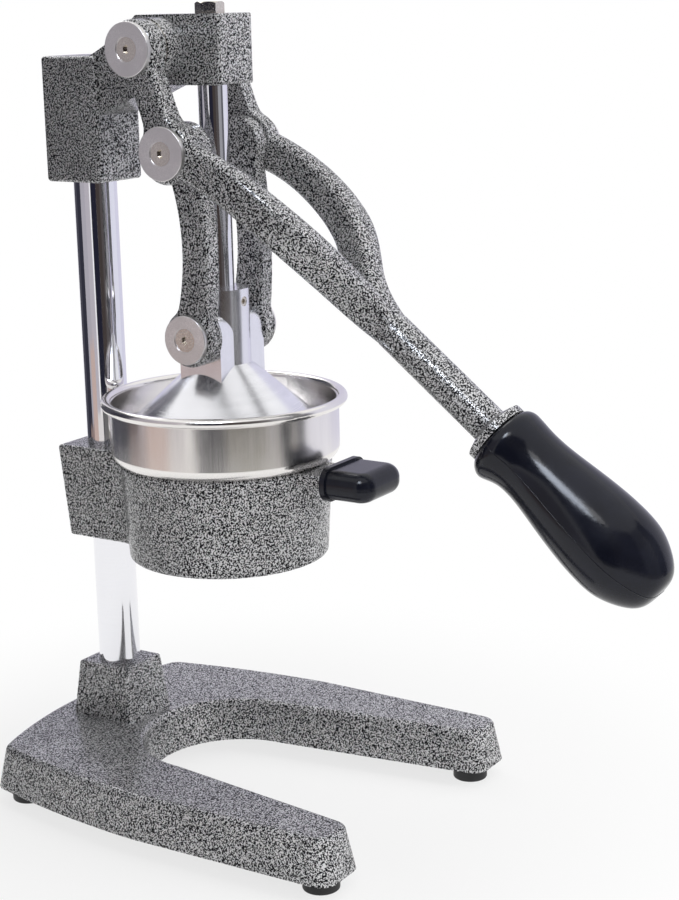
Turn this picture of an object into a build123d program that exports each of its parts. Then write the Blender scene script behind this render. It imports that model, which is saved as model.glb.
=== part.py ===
from build123d import *
import math
import os

# Hand lever citrus press. Millimetres, +Z up. The press axis is X = Y = 0, the table is Z = 0,
# the handle points to -Y and the column stands at +Y.

# Fits
FIT = 0.05
FACE_GAP = 0.2
CASTING_GAP = 0.4

# Base casting
FOOT_HEIGHT = 9.0
FOOT_RADIUS = 9.4
FOOT_EDGE = 1.0
FRONT_FOOT_INSET_X = 13.2
FRONT_FOOT_INSET_Y = 11.0
REAR_FOOT_INSET_X = 9.5
REAR_FOOT_INSET_Y = 8.0
FOOT_BOSS_RADIUS = 12.0
BASE_HEIGHT = 23.0
BASE_DRAFT = 9.0
BASE_WALL = 8.0
BASE_ROOF = 9.0
BASE_EDGE = 3.0
BASE_WAIST = 92.0
BASE_FRONT_TAPER = 2.0
BASE_FRONT_Y = -115.0
BASE_REAR_TAPER = 15.5
BASE_REAR_Y = 101.0
BASE_REAR_CROWN = 13.0
BASE_SIDE_BULGE = 2.6
ARCH_WALL = 42.0
ARCH_Y = 2.0
ARCH_TO_PEDESTAL = 7.5
LEG_WIDTH = 24.0
LEG_CORNER = 9.0
CORNER_SHARE = 0.4
REAR_CORNER = 10.0
PEDESTAL_HEIGHT = 30.7
PEDESTAL_TOP_X = 31.6
PEDESTAL_TOP_Y = 33.8
PEDESTAL_FOOT_X = 37.0
PEDESTAL_FOOT_Y = 41.0
PEDESTAL_EDGE = 1.8

# Foot screws
FOOT_SCREW_RADIUS = 2.5
FOOT_SCREW_HEAD_RADIUS = 4.3
FOOT_SCREW_HEAD_HEIGHT = 3.0
FOOT_SCREW_GRIP = 10.0
FOOT_RUBBER_UNDER_HEAD = 4.0

# Column and what holds it
COLUMN_Y = 80.0
COLUMN_RADIUS = 11.5
COLUMN_BOLT_RADIUS = 5.0
COLUMN_BOLT_DEPTH = 22.0
COLUMN_BOLT_ACROSS = 17.0
COLUMN_BOLT_HEAD = 6.4
COLUMN_WASHER_RADIUS = 12.0
COLUMN_WASHER_THICKNESS = 2.0

# Head casting
HEAD_LEVEL = 332.8
SOCKET_HEIGHT = 65.3
SOCKET_WIDTH = 35.6
SOCKET_DEPTH = 36.6
SOCKET_ROOF = 8.0
HEAD_EDGE = 2.0
ARM_TOP = 85.5
ARM_WIDTH = 29.4
ARM_FRONT_Y = -15.7
GUIDE_HEIGHT = 34.8
ARM_HAUNCH = 35.0
ARM_UNDER_Y = 24.0
ARM_CURVE_START_Y = 72.0
ARM_CURVE_END_Y = 36.0
ARM_CURVE_SAG = 2.0
BOSS_RADIUS = 15.0
SPACER_THICKNESS = 0.9
SET_SCREW_RADIUS = 4.0
SET_SCREW_KEY = 4.0
SET_SCREW_KEY_DEPTH = 3.0
SET_SCREW_INSET = 0.6
HEAD_SET_SCREW_LEVELS = (15.0, 49.0)

# Pivots
HEAD_PIVOT_Y = 20.0
HEAD_PIVOT_RISE = 69.2
UPPER_ARM_LENGTH = 53.6
UPPER_ARM_ANGLE = 19.7
PIN_RADIUS = 6.0
EYE_RADIUS = 14.6
LEVER_MID_EYE_RADIUS = 15.8
LUG_FACE = 19.5
LINK_THICKNESS = 9.7
LEVER_EYE_THICKNESS = 11.0
DISC_RADIUS = 13.5
DISC_THICKNESS = 2.6
DISC_EDGE = 0.4
LOW_DISC_RADIUS = 12.7
PIVOT_SCREW_RADIUS = 3.0
PIVOT_SCREW_HEAD_RADIUS = 6.0
PIVOT_SCREW_HEAD_HEIGHT = 2.2
PIVOT_SCREW_LENGTH = 8.0
PIVOT_SCREW_KEY = 4.0
PIVOT_SCREW_KEY_DEPTH = 1.6
PIVOT_SCREW_SINK = 0.35
PIVOT_SCREW_RIM = 0.5

# Arms and links, seen from the side
UPPER_ARM_HALF_END = 10.5
UPPER_ARM_HALF_WAIST = 8.0
UPPER_ARM_BOW = 0.6
ARM_EDGE = 3.0
LINK_HALF_END = 11.0
LINK_HALF_WAIST = 7.9
LINK_BOW = 6.9
LINK_EDGE = 1.6
NECK_FILLET = 10.0

# Lever fork, shaft and grip
FORK_HALF_HEIGHT = 10.1
FORK_END_HALF_HEIGHT = 8.0
FORK_ROOT_HALF_WIDTH = 5.0
FORK_HALF_WIDTH = 7.4
FORK_END_HALF_WIDTH = 5.4
FORK_EDGE = 4.6
FORK_DIP = 18.0
FORK_SHOULDER_Y = -42.0
FORK_SHOULDER_Z = 329.5
FORK_SHOULDER_INSET = 1.4
FORK_STATIONS = 10
FORK_EYE_SHARE = 0.2
FORK_END_X = 2.6
FORK_BEND_X = 24.2
FORK_BEND_Y = -68.5
FORK_BEND_Z = 306.0
SHAFT_START_Y = -104.0
SHAFT_START_Z = 264.7
SHAFT_ANGLE = 38.5
SHAFT_LENGTH = 71.5
SHAFT_RADIUS = 9.5
SHAFT_NOSE_LENGTH = 18.0
SHAFT_NOSE_RADIUS = 4.0
FLANGE_RADIUS = 16.6
FLANGE_THICKNESS = 3.8
FLANGE_CONE = 3.0
TANG_RADIUS = 7.0
TANG_LENGTH = 74.0
GRIP_RISE = 1.6
GRIP_TILT = 1.2
GRIP_LENGTH = 107.2
GRIP_MOUTH_RADIUS = 21.6
GRIP_NECK_RADIUS = 18.3
GRIP_NECK_AT = 26.6
GRIP_BULGE_RADIUS = 23.5
GRIP_BULGE_AT = 77.2
GRIP_MOUTH_EDGE = 3.4
GRIP_SHOULDER_RADIUS = 18.5
GRIP_SHOULDER_FROM_END = 11.0
GRIP_NUB_RADIUS = 2.0

# Press cone, rod and stop
ROD_RADIUS = 7.55
HUB_RADIUS = 15.1
HUB_HEIGHT = 39.0
CONE_TO_BOWL = 5.4
CONE_ANGLE = 41.5
CONE_WALL = 5.0
CONE_RIM = 4.0
CONE_RIM_RISE = 12.0
LUG_HALF_WIDTH = 13.0
LOW_PIVOT_RISE = 16.0
ROD_SEAT = 33.0
LOW_PIN_SEAT = 9.5
PRESS_SCREW_RADIUS = 2.5
PRESS_SCREW_KEY = 2.5
PRESS_SCREW_KEY_DEPTH = 2.0
PRESS_SCREW_DROP = 6.5
PRESS_SCREW_INSET = 0.5
STOP_RADIUS = 9.5
STOP_THICKNESS = 1.5
ROD_BOLT_RADIUS = 4.0
ROD_BOLT_ACROSS = 13.0
ROD_BOLT_HEAD = 5.8
ROD_BOLT_DEPTH = 20.0
BOLT_CROWN = 0.8

# Cup holder
CUP_LEVEL = 137.5
CUP_HEIGHT = 52.0
CUP_RADIUS = 53.2
CUP_DRAFT = 3.4
CUP_BORE = 48.5
CUP_EDGE = 1.6
CLAMP_HALF_WIDTH = 17.6
CLAMP_REAR = 15.4
CLAMP_FILLET = 16.0
CUP_SET_SCREW_LEVELS = (14.0, 38.0)
TAB_WIDTH = 30.0
TAB_THICKNESS = 7.5
TAB_LENGTH = 42.0
TAB_EDGE = 2.0
TAB_CORNER = 5.0
TAB_GRIP_WALL = 4.0
TAB_GRIP_LENGTH = 28.0
TAB_GRIP_LIP = 1.2
TAB_GRIP_LIP_LENGTH = 3.0
TAB_GRIP_FLAT = 1.5

# Bowl and strainer
SHEET = 1.2
BOWL_DEPTH = 34.0
BOWL_RADIUS = 60.4
BOWL_CORNER = 6.0
BOWL_RIM_OVERHANG = 4.6
BOWL_NECK_GAP = 0.6
FUNNEL_NECK = 4.0
FUNNEL_DROP = 34.0
SPOUT_RADIUS = 11.0
SPOUT_LENGTH = 8.0
STRAINER_TO_BOWL = 9.4
STRAINER_SKIRT = 5.0
STRAINER_TIP_RADIUS = 8.0
STRAINER_SLOTS = 24
STRAINER_SLOT_WIDTH = 2.0
STRAINER_SLOT_FROM = 20.0
STRAINER_SLOT_INSET = 6.0

# Base corners that follow its waist
base_front_x = BASE_WAIST - BASE_FRONT_TAPER
base_rear_x = BASE_WAIST - BASE_REAR_TAPER

# The arch ends a set distance in front of the pedestal
arch_crown = COLUMN_Y - PEDESTAL_FOOT_Y / 2 - ARCH_TO_PEDESTAL

# Levels that follow
base_top = FOOT_HEIGHT + BASE_HEIGHT
base_roof = base_top - BASE_ROOF
pedestal_top = base_top + PEDESTAL_HEIGHT
socket_top = HEAD_LEVEL + SOCKET_HEIGHT
column_top = socket_top - SOCKET_ROOF
head_top = HEAD_LEVEL + ARM_TOP
guide_under = head_top - GUIDE_HEIGHT
cup_top = CUP_LEVEL + CUP_HEIGHT
rim_top = cup_top + BOWL_DEPTH
funnel_neck = CUP_BORE - BOWL_NECK_GAP
tab_grip_edge = TAB_THICKNESS / 2 + TAB_GRIP_WALL - TAB_GRIP_FLAT / 2

# The press cone hangs a set height over the bowl's floor, and its hub and low pivots follow
cone_slope = math.tan(math.radians(CONE_ANGLE))
cone_radius = BOWL_RADIUS - CONE_TO_BOWL
strainer_radius = BOWL_RADIUS - STRAINER_TO_BOWL
cone_rim_low = cup_top + CONE_RIM_RISE
cone_rim_top = cone_rim_low + CONE_RIM
cone_top = cone_rim_top + (cone_radius - HUB_RADIUS) * cone_slope
hub_top = cone_top + HUB_HEIGHT
rod_foot = hub_top - ROD_SEAT
rod_head = head_top - STOP_THICKNESS

# Pivot centres as (Y, Z)
head_pivot = (HEAD_PIVOT_Y, HEAD_LEVEL + HEAD_PIVOT_RISE)
arm_lean = math.radians(UPPER_ARM_ANGLE)
mid_pivot = (
    head_pivot[0] - UPPER_ARM_LENGTH * math.sin(arm_lean),
    head_pivot[1] - UPPER_ARM_LENGTH * math.cos(arm_lean),
)
low_pivot = (0.0, cone_top + LOW_PIVOT_RISE)

# Layers outwards along X
link_in = LUG_FACE + FACE_GAP
link_out = link_in + LINK_THICKNESS
low_disc_in = link_out + FACE_GAP
eye_in = link_out + FACE_GAP
eye_out = eye_in + LEVER_EYE_THICKNESS
head_disc_in = eye_out + FACE_GAP
spacer_out = eye_in - FACE_GAP
boss_out = spacer_out - SPACER_THICKNESS


def rod_z(radius, low, high, x=0.0, y=0.0):
    """A round bar along Z between two levels."""
    return Pos(x, y, (low + high) / 2) * Cylinder(radius, high - low)


def rod_x(radius, start, end, centre):
    """A round bar along X between two places, about a (Y, Z) centre."""
    return Pos((start + end) / 2, *centre) * Rot(0, 90, 0) * Cylinder(radius, end - start)


def rod_y(radius, start, end, x, z):
    """A round bar along Y between two places."""
    return Pos(x, (start + end) / 2, z) * Rot(90, 0, 0) * Cylinder(radius, end - start)


def hexagon(across, height):
    """A hexagonal prism standing on Z = 0."""
    return extrude(RegularPolygon(across / math.sqrt(3), 6), height)


def other_side(shape):
    """The mirror image on the other side of the press."""
    return mirror(shape, about=Plane.YZ)


def group(*solids):
    """Separate solids that share one node."""
    return Compound(children=list(solids))


def box_between(low, high):
    """A box between two corners."""
    size = [high[i] - low[i] for i in range(3)]
    centre = [(high[i] + low[i]) / 2 for i in range(3)]
    return Pos(*centre) * Box(*size)


def turned(points):
    """A body of revolution about Z from (radius, level) points that start and end on the axis."""
    return revolve(Plane.XZ * make_face(Polyline(*points, close=True)), Axis.Z)


def plate_x(face, start, thickness):
    """A plate whose (Y, Z) outline stands at X = start and grows outwards."""
    return extrude(Plane.YZ.offset(start) * face, thickness)


def base_outline(spread):
    """The horseshoe as seen from above, grown by the draft's spread."""
    rear = (base_rear_x + spread, BASE_REAR_Y + spread)
    waist = (BASE_WAIST + spread, 0.0)
    front_y = BASE_FRONT_Y - spread
    front = (base_front_x + spread, front_y)
    inner = (base_front_x - LEG_WIDTH - spread, front_y)
    arch = BASE_WAIST - ARCH_WALL - spread
    spring = (arch, ARCH_Y)
    bulge = ((rear[0] + waist[0]) / 2 + BASE_SIDE_BULGE, rear[1] / 2)

    def flip(point):
        return (-point[0], point[1])

    face = make_face([
        ThreePointArc(rear, bulge, waist),
        Line(waist, front),
        Line(front, inner),
        Line(inner, spring),
        ThreePointArc(spring, (0.0, arch_crown - spread), flip(spring)),
        Line(flip(spring), flip(inner)),
        Line(flip(inner), flip(front)),
        Line(flip(front), flip(waist)),
        ThreePointArc(flip(waist), flip(bulge), flip(rear)),
        ThreePointArc(flip(rear), (0.0, rear[1] + BASE_REAR_CROWN), rear),
    ])
    front_corners = [v for v in face.vertices() if abs(v.Y - front_y) < FIT]
    face = fillet(front_corners, min(LEG_CORNER, CORNER_SHARE * (front[0] - inner[0])))
    rear_corners = [v for v in face.vertices() if abs(v.Y - rear[1]) < FIT]
    return fillet(rear_corners, REAR_CORNER)


def foot_places():
    """Foot centres as name and (X, Y), set in from the base's corners."""
    front = (base_front_x - FRONT_FOOT_INSET_X, BASE_FRONT_Y + FRONT_FOOT_INSET_Y)
    rear = (base_rear_x - REAR_FOOT_INSET_X, BASE_REAR_Y - REAR_FOOT_INSET_Y)
    return {
        "front_left": (-front[0], front[1]),
        "front_right": front,
        "rear_left": (-rear[0], rear[1]),
        "rear_right": rear,
    }


def base():
    """Horseshoe casting, hollow below, with the pedestal that takes the column."""
    spread = BASE_HEIGHT * math.tan(math.radians(BASE_DRAFT))
    sole = Pos(0, 0, FOOT_HEIGHT) * base_outline(spread)
    shell = loft([sole, Pos(0, 0, base_top) * base_outline(0.0)], ruled=True)
    shell = fillet(shell.faces().sort_by(Axis.Z)[-1].edges(), BASE_EDGE)
    hollow = extrude(Pos(0, 0, FOOT_HEIGHT) * base_outline(-BASE_WALL), base_roof - FOOT_HEIGHT)
    bosses = [
        rod_z(FOOT_BOSS_RADIUS, FOOT_HEIGHT, base_roof, x, y) for x, y in foot_places().values()
    ]
    hollow = hollow - bosses
    pedestal = loft([
        Pos(0, COLUMN_Y, base_roof) * Rectangle(PEDESTAL_FOOT_X, PEDESTAL_FOOT_Y),
        Pos(0, COLUMN_Y, base_top) * Rectangle(PEDESTAL_FOOT_X, PEDESTAL_FOOT_Y),
    ])
    pedestal += loft([
        Pos(0, COLUMN_Y, base_top) * Rectangle(PEDESTAL_FOOT_X, PEDESTAL_FOOT_Y),
        Pos(0, COLUMN_Y, pedestal_top) * Rectangle(PEDESTAL_TOP_X, PEDESTAL_TOP_Y),
    ])
    slanted = [e for e in pedestal.edges() if e.center().Z > base_top + FIT]
    pedestal = fillet(slanted, PEDESTAL_EDGE)
    body = shell - hollow + pedestal
    body -= rod_z(COLUMN_RADIUS + FIT, base_top, pedestal_top, 0, COLUMN_Y)
    body -= rod_z(COLUMN_BOLT_RADIUS + FIT, FOOT_HEIGHT, base_top, 0, COLUMN_Y)
    for x, y in foot_places().values():
        body -= rod_z(FOOT_SCREW_RADIUS + FIT, FOOT_HEIGHT, FOOT_HEIGHT + FOOT_SCREW_GRIP, x, y)
    return body


def foot(x, y):
    """Rubber foot with a recess for its screw."""
    body = fillet(Cylinder(FOOT_RADIUS, FOOT_HEIGHT).edges().sort_by(Axis.Z)[0], FOOT_EDGE)
    body = Pos(x, y, FOOT_HEIGHT / 2) * body
    body -= rod_z(FOOT_SCREW_HEAD_RADIUS + FIT, 0, FOOT_HEIGHT - FOOT_RUBBER_UNDER_HEAD, x, y)
    return body - rod_z(FOOT_SCREW_RADIUS + FIT, 0, FOOT_HEIGHT, x, y)


def foot_screws():
    """One screw through each foot, up into the base."""
    seat = FOOT_HEIGHT - FOOT_RUBBER_UNDER_HEAD
    screws = []
    for x, y in foot_places().values():
        screw = rod_z(FOOT_SCREW_RADIUS, seat, FOOT_HEIGHT + FOOT_SCREW_GRIP, x, y)
        screw += rod_z(FOOT_SCREW_HEAD_RADIUS, seat - FOOT_SCREW_HEAD_HEIGHT, seat, x, y)
        screws.append(screw)
    return group(*screws)


def column():
    """Chromed bar from the pedestal's socket to the head's socket."""
    bar = rod_z(COLUMN_RADIUS, base_top, column_top, 0, COLUMN_Y)
    return bar - rod_z(COLUMN_BOLT_RADIUS + FIT, base_top, base_top + COLUMN_BOLT_DEPTH, 0, COLUMN_Y)


def column_washer():
    """Washer under the base, beneath the column."""
    ring = rod_z(COLUMN_WASHER_RADIUS, base_roof - COLUMN_WASHER_THICKNESS, base_roof, 0, COLUMN_Y)
    return ring - rod_z(COLUMN_BOLT_RADIUS + FIT, FOOT_HEIGHT, base_roof, 0, COLUMN_Y)


def column_bolt():
    """Bolt that draws the column down into the pedestal."""
    seat = base_roof - COLUMN_WASHER_THICKNESS
    head = Pos(0, COLUMN_Y, seat - COLUMN_BOLT_HEAD) * hexagon(COLUMN_BOLT_ACROSS, COLUMN_BOLT_HEAD)
    return head + rod_z(COLUMN_BOLT_RADIUS, seat, base_top + COLUMN_BOLT_DEPTH, 0, COLUMN_Y)


def rear_set_screw(rear_y, z):
    """Socket set screw that bears on the column from behind."""
    outer = rear_y - SET_SCREW_INSET
    screw = rod_y(SET_SCREW_RADIUS, COLUMN_Y + COLUMN_RADIUS, outer, 0, z)
    key = hexagon(SET_SCREW_KEY, SET_SCREW_KEY_DEPTH)
    return screw - Pos(0, outer, z) * Rot(90, 0, 0) * key


def rear_screw_hole(rear_y, z):
    """Tapped hole for a rear set screw, from the column's axis out."""
    return rod_y(SET_SCREW_RADIUS + FIT, COLUMN_Y, rear_y + SET_SCREW_RADIUS, 0, z)


def head():
    """Casting with the column socket, the forward arm, the rod guide and the pivot bosses."""
    half_depth = SOCKET_DEPTH / 2
    socket = box_between(
        (-SOCKET_WIDTH / 2, COLUMN_Y - half_depth, HEAD_LEVEL),
        (SOCKET_WIDTH / 2, COLUMN_Y + half_depth, socket_top),
    )
    socket = fillet(socket.edges(), HEAD_EDGE)
    curve_start = (ARM_CURVE_START_Y, socket_top - HEAD_EDGE)
    curve_end = (ARM_CURVE_END_Y, head_top)
    curve_mid = (
        (curve_start[0] + curve_end[0]) / 2,
        (curve_start[1] + curve_end[1]) / 2 - ARM_CURVE_SAG,
    )
    profile = [
        ThreePointArc(curve_start, curve_mid, curve_end),
        Line(curve_end, (ARM_FRONT_Y, head_top)),
        Line((ARM_FRONT_Y, head_top), (ARM_FRONT_Y, guide_under)),
        Line((ARM_FRONT_Y, guide_under), (ARM_UNDER_Y, guide_under)),
        Line((ARM_UNDER_Y, guide_under), (COLUMN_Y - half_depth, HEAD_LEVEL + ARM_HAUNCH)),
        Line((COLUMN_Y - half_depth, HEAD_LEVEL + ARM_HAUNCH), (COLUMN_Y, HEAD_LEVEL + ARM_HAUNCH)),
        Line((COLUMN_Y, HEAD_LEVEL + ARM_HAUNCH), (COLUMN_Y, socket_top - HEAD_EDGE)),
        Line((COLUMN_Y, socket_top - HEAD_EDGE), curve_start),
    ]
    arm = plate_x(make_face(profile), -ARM_WIDTH / 2, ARM_WIDTH)
    nose = [e for e in arm.edges() if e.center().Y < ARM_FRONT_Y + FIT]
    arm = fillet(nose, HEAD_EDGE)
    body = socket + arm + rod_x(BOSS_RADIUS, -boss_out, boss_out, head_pivot)
    body -= rod_z(COLUMN_RADIUS + FIT, HEAD_LEVEL, column_top, 0, COLUMN_Y)
    body -= rod_z(ROD_RADIUS + FIT, guide_under, head_top)
    body -= rod_z(STOP_RADIUS + CASTING_GAP, rod_head, head_top)
    body -= rod_x(PIN_RADIUS + FIT, -boss_out, boss_out, head_pivot)
    for level in HEAD_SET_SCREW_LEVELS:
        body -= rear_screw_hole(COLUMN_Y + half_depth, HEAD_LEVEL + level)
    return body


def head_set_screws():
    """Two set screws at the back of the head."""
    rear = COLUMN_Y + SOCKET_DEPTH / 2
    return group(*[rear_set_screw(rear, HEAD_LEVEL + level) for level in HEAD_SET_SCREW_LEVELS])


def pin(start, end, centre, tapped_end):
    """Pivot pin along X with a tapped hole for its screw."""
    bar = rod_x(PIN_RADIUS, start, end, centre)
    return bar - rod_x(PIVOT_SCREW_RADIUS + FIT, tapped_end - PIVOT_SCREW_LENGTH, tapped_end, centre)


def head_pivot_pin():
    """One long pin through the head that carries both sides of the lever."""
    bar = pin(-head_disc_in, head_disc_in, head_pivot, head_disc_in)
    hole = rod_x(PIVOT_SCREW_RADIUS + FIT, head_disc_in - PIVOT_SCREW_LENGTH, head_disc_in, head_pivot)
    return bar - other_side(hole)


def head_spacers():
    """Thin washers between the head's bosses and the lever's eyes."""
    ring = rod_x(EYE_RADIUS, boss_out, spacer_out, head_pivot)
    ring -= rod_x(PIN_RADIUS + FIT, boss_out, spacer_out, head_pivot)
    return group(ring, other_side(ring))


def disc(radius, start, centre):
    """Cover disc on a pin's end, countersunk for its screw."""
    outer = start + DISC_THICKNESS
    body = rod_x(radius, start, outer, centre)
    body = fillet(body.edges().sort_by(Axis.X)[-1], DISC_EDGE)
    body -= rod_x(PIVOT_SCREW_RADIUS + FIT, start, outer, centre)
    seat = outer - PIVOT_SCREW_SINK
    body -= rod_x(PIVOT_SCREW_HEAD_RADIUS + PIVOT_SCREW_RIM, seat, outer, centre)
    return body - countersink(seat, centre, FIT)


def countersink(outer, centre, extra):
    """Cone under a countersunk head whose flat top is at X = outer."""
    cone = Cone(
        PIVOT_SCREW_RADIUS + extra, PIVOT_SCREW_HEAD_RADIUS + extra, PIVOT_SCREW_HEAD_HEIGHT
    )
    return Pos(outer - PIVOT_SCREW_HEAD_HEIGHT / 2, *centre) * Rot(0, 90, 0) * cone


def disc_screw(start, centre):
    """Countersunk socket screw through a disc into its pin."""
    outer = start + DISC_THICKNESS - PIVOT_SCREW_SINK
    body = rod_x(PIVOT_SCREW_RADIUS, start - PIVOT_SCREW_LENGTH, outer, centre)
    body += countersink(outer, centre, 0.0)
    key = hexagon(PIVOT_SCREW_KEY, PIVOT_SCREW_KEY_DEPTH)
    return body - Pos(outer, *centre) * Rot(0, -90, 0) * key


def bar_outline(top, low, half_end, half_waist, bow):
    """A waisted bar between two eyes, bowed towards -Y by a set amount."""
    along = Vector(low[0] - top[0], low[1] - top[1]).normalized()
    side = Vector(along.Y, -along.X)
    if side.X > 0:
        side = side * -1
    start = Vector(*top)
    end = Vector(*low)
    middle = (start + end) / 2 + side * bow
    return make_face([
        ThreePointArc(start + side * half_end, middle + side * half_waist, end + side * half_end),
        Line(end + side * half_end, end - side * half_end),
        ThreePointArc(end - side * half_end, middle - side * half_waist, start - side * half_end),
        Line(start - side * half_end, start + side * half_end),
    ])


def eyed_bar(top, low, half_end, half_waist, bow, low_eye_radius):
    """Outline of a bar with a round eye at each end, flowing into the eyes."""
    face = bar_outline(top, low, half_end, half_waist, bow)
    heading = math.degrees(math.atan2(low[1] - top[1], low[0] - top[0]))
    face += Pos(*top) * Rot(0, 0, heading) * Circle(EYE_RADIUS)
    face += Pos(*low) * Rot(0, 0, heading + 180) * Circle(low_eye_radius)
    return fillet(face.vertices(), NECK_FILLET)


def link():
    """Lower link on the right side, between the mid pivot and the press."""
    face = eyed_bar(mid_pivot, low_pivot, LINK_HALF_END, LINK_HALF_WAIST, LINK_BOW, EYE_RADIUS)
    body = plate_x(face, link_in, LINK_THICKNESS)
    body = fillet(body.faces().sort_by(Axis.X)[-1].edges(), LINK_EDGE)
    body -= rod_x(PIN_RADIUS + FIT, link_in, link_out, mid_pivot)
    return body - rod_x(PIN_RADIUS + FIT, link_in, link_out, low_pivot)


def link_mid_pin():
    """The link's half of the mid pivot pin, up to the plane where the loop opens."""
    return rod_x(PIN_RADIUS, link_in, link_out, mid_pivot)


def shaft_frame():
    """Plane at the shaft's start whose normal runs along the handle."""
    angle = math.radians(SHAFT_ANGLE)
    along = (0, -math.cos(angle), -math.sin(angle))
    return Plane((0, SHAFT_START_Y, SHAFT_START_Z), x_dir=(1, 0, 0), z_dir=along)


def fork_arm():
    """Right arm of the fork, from the mid eye in to the shaft."""
    middle = (eye_in + eye_out) / 2
    dip = math.radians(FORK_DIP)
    path = Spline(
        (middle, mid_pivot[0], mid_pivot[1]),
        (middle - FORK_SHOULDER_INSET, FORK_SHOULDER_Y, FORK_SHOULDER_Z),
        (FORK_BEND_X, FORK_BEND_Y, FORK_BEND_Z),
        (FORK_END_X, SHAFT_START_Y, SHAFT_START_Z),
        tangents=((0, -math.cos(dip), -math.sin(dip)), shaft_frame().z_dir),
    )
    sections = []
    for i in range(FORK_STATIONS + 1):
        t = i / FORK_STATIONS
        free = max(0.0, (t - FORK_EYE_SHARE) / (1 - FORK_EYE_SHARE))
        ends = FORK_ROOT_HALF_WIDTH + (FORK_END_HALF_WIDTH - FORK_ROOT_HALF_WIDTH) * t
        width = ends + (FORK_HALF_WIDTH - ends) * math.sin(math.pi * free)
        height = FORK_HALF_HEIGHT + (FORK_END_HALF_HEIGHT - FORK_HALF_HEIGHT) * t ** FORK_STATIONS
        plane = Plane(path @ t, x_dir=(1, 0, 0), z_dir=path % t)
        sections.append(plane * RectangleRounded(2 * width, 2 * height, FORK_EDGE))
    return loft(sections)


def lever():
    """One casting: upper arms, mid eyes, fork, shaft, flange and the tang inside the grip."""
    face = eyed_bar(
        head_pivot,
        mid_pivot,
        UPPER_ARM_HALF_END,
        UPPER_ARM_HALF_WAIST,
        UPPER_ARM_BOW,
        LEVER_MID_EYE_RADIUS,
    )
    side = plate_x(face, eye_in, LEVER_EYE_THICKNESS)
    side = fillet(side.faces().sort_by(Axis.X)[-1].edges(), ARM_EDGE)
    side += fork_arm()
    shaft_end = SHAFT_LENGTH
    flange_end = shaft_end + FLANGE_THICKNESS
    stem = make_face(Polyline(
        (0, -SHAFT_NOSE_LENGTH),
        (SHAFT_NOSE_RADIUS, -SHAFT_NOSE_LENGTH),
        (SHAFT_RADIUS, 0),
        (SHAFT_RADIUS, shaft_end - FLANGE_CONE),
        (FLANGE_RADIUS, shaft_end),
        (FLANGE_RADIUS, flange_end),
        (TANG_RADIUS, flange_end),
        (TANG_RADIUS, flange_end + TANG_LENGTH),
        (0, flange_end + TANG_LENGTH),
        close=True,
    ))
    stem = revolve(Plane.XZ * stem, Axis.Z)
    body = side + other_side(side) + shaft_frame() * stem
    spot_face = rod_x(DISC_RADIUS + CASTING_GAP, eye_out, eye_out + EYE_RADIUS, mid_pivot)
    bore_in = eye_in - FACE_GAP
    bore_out = eye_out + FACE_GAP
    bores = [rod_x(PIN_RADIUS + FIT, bore_in, bore_out, place) for place in (head_pivot, mid_pivot)]
    for cut in bores + [spot_face]:
        body -= cut
        body -= other_side(cut)
    return body


def lever_grip():
    """Moulded grip with a flared mouth, a waist and a round end, tilted a little on its tang."""
    curve = Spline(
        (GRIP_MOUTH_RADIUS, GRIP_MOUTH_EDGE),
        (GRIP_NECK_RADIUS, GRIP_NECK_AT),
        (GRIP_BULGE_RADIUS, GRIP_BULGE_AT),
        tangents=((-1, 1), (0, 1)),
    )
    tip = Spline(
        (GRIP_BULGE_RADIUS, GRIP_BULGE_AT),
        (GRIP_SHOULDER_RADIUS, GRIP_LENGTH - GRIP_SHOULDER_FROM_END),
        (GRIP_NUB_RADIUS, GRIP_LENGTH),
        tangents=((0, 1), (-1, 0)),
    )
    mouth = GRIP_MOUTH_RADIUS - GRIP_MOUTH_EDGE
    face = make_face([
        Line((0, 0), (mouth, 0)),
        Line((mouth, 0), (GRIP_MOUTH_RADIUS, GRIP_MOUTH_EDGE)),
        curve,
        tip,
        Line((GRIP_NUB_RADIUS, GRIP_LENGTH), (0, GRIP_LENGTH)),
        Line((0, GRIP_LENGTH), (0, 0)),
    ])
    start = SHAFT_LENGTH + FLANGE_THICKNESS
    body = Pos(0, GRIP_RISE, start) * Rot(GRIP_TILT, 0, 0) * revolve(Plane.XZ * face, Axis.Z)
    body -= rod_z(GRIP_MOUTH_RADIUS, start - GRIP_MOUTH_EDGE, start)
    body -= rod_z(TANG_RADIUS + FIT, start, start + TANG_LENGTH)
    return shaft_frame() * body


def press_cone():
    """Turned cone with the hub for the rod and the two lugs for the links."""
    solid = turned([
        (0, cone_rim_low),
        (cone_radius, cone_rim_low),
        (cone_radius, cone_rim_top),
        (HUB_RADIUS, cone_top),
        (HUB_RADIUS, hub_top),
        (0, hub_top),
    ])
    solid += box_between(
        (-LUG_FACE, -LUG_HALF_WIDTH, cone_rim_top), (LUG_FACE, LUG_HALF_WIDTH, low_pivot[1])
    )
    solid += rod_x(LUG_HALF_WIDTH, -LUG_FACE, LUG_FACE, low_pivot)
    slope_foot = cone_radius - CONE_WALL
    solid -= turned([
        (0, cone_rim_low),
        (slope_foot, cone_rim_low),
        (STRAINER_TIP_RADIUS, cone_rim_low + (slope_foot - STRAINER_TIP_RADIUS) * cone_slope),
        (0, cone_rim_low + (slope_foot - STRAINER_TIP_RADIUS) * cone_slope),
    ])
    solid -= rod_z(ROD_RADIUS + FIT, rod_foot, hub_top)
    pin_hole = rod_x(PIN_RADIUS + FIT, LOW_PIN_SEAT, LUG_FACE, low_pivot)
    solid -= pin_hole
    solid -= other_side(pin_hole)
    screw_level = hub_top - PRESS_SCREW_DROP
    return solid - rod_y(PRESS_SCREW_RADIUS + FIT, -HUB_RADIUS, 0, 0, screw_level)


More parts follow.
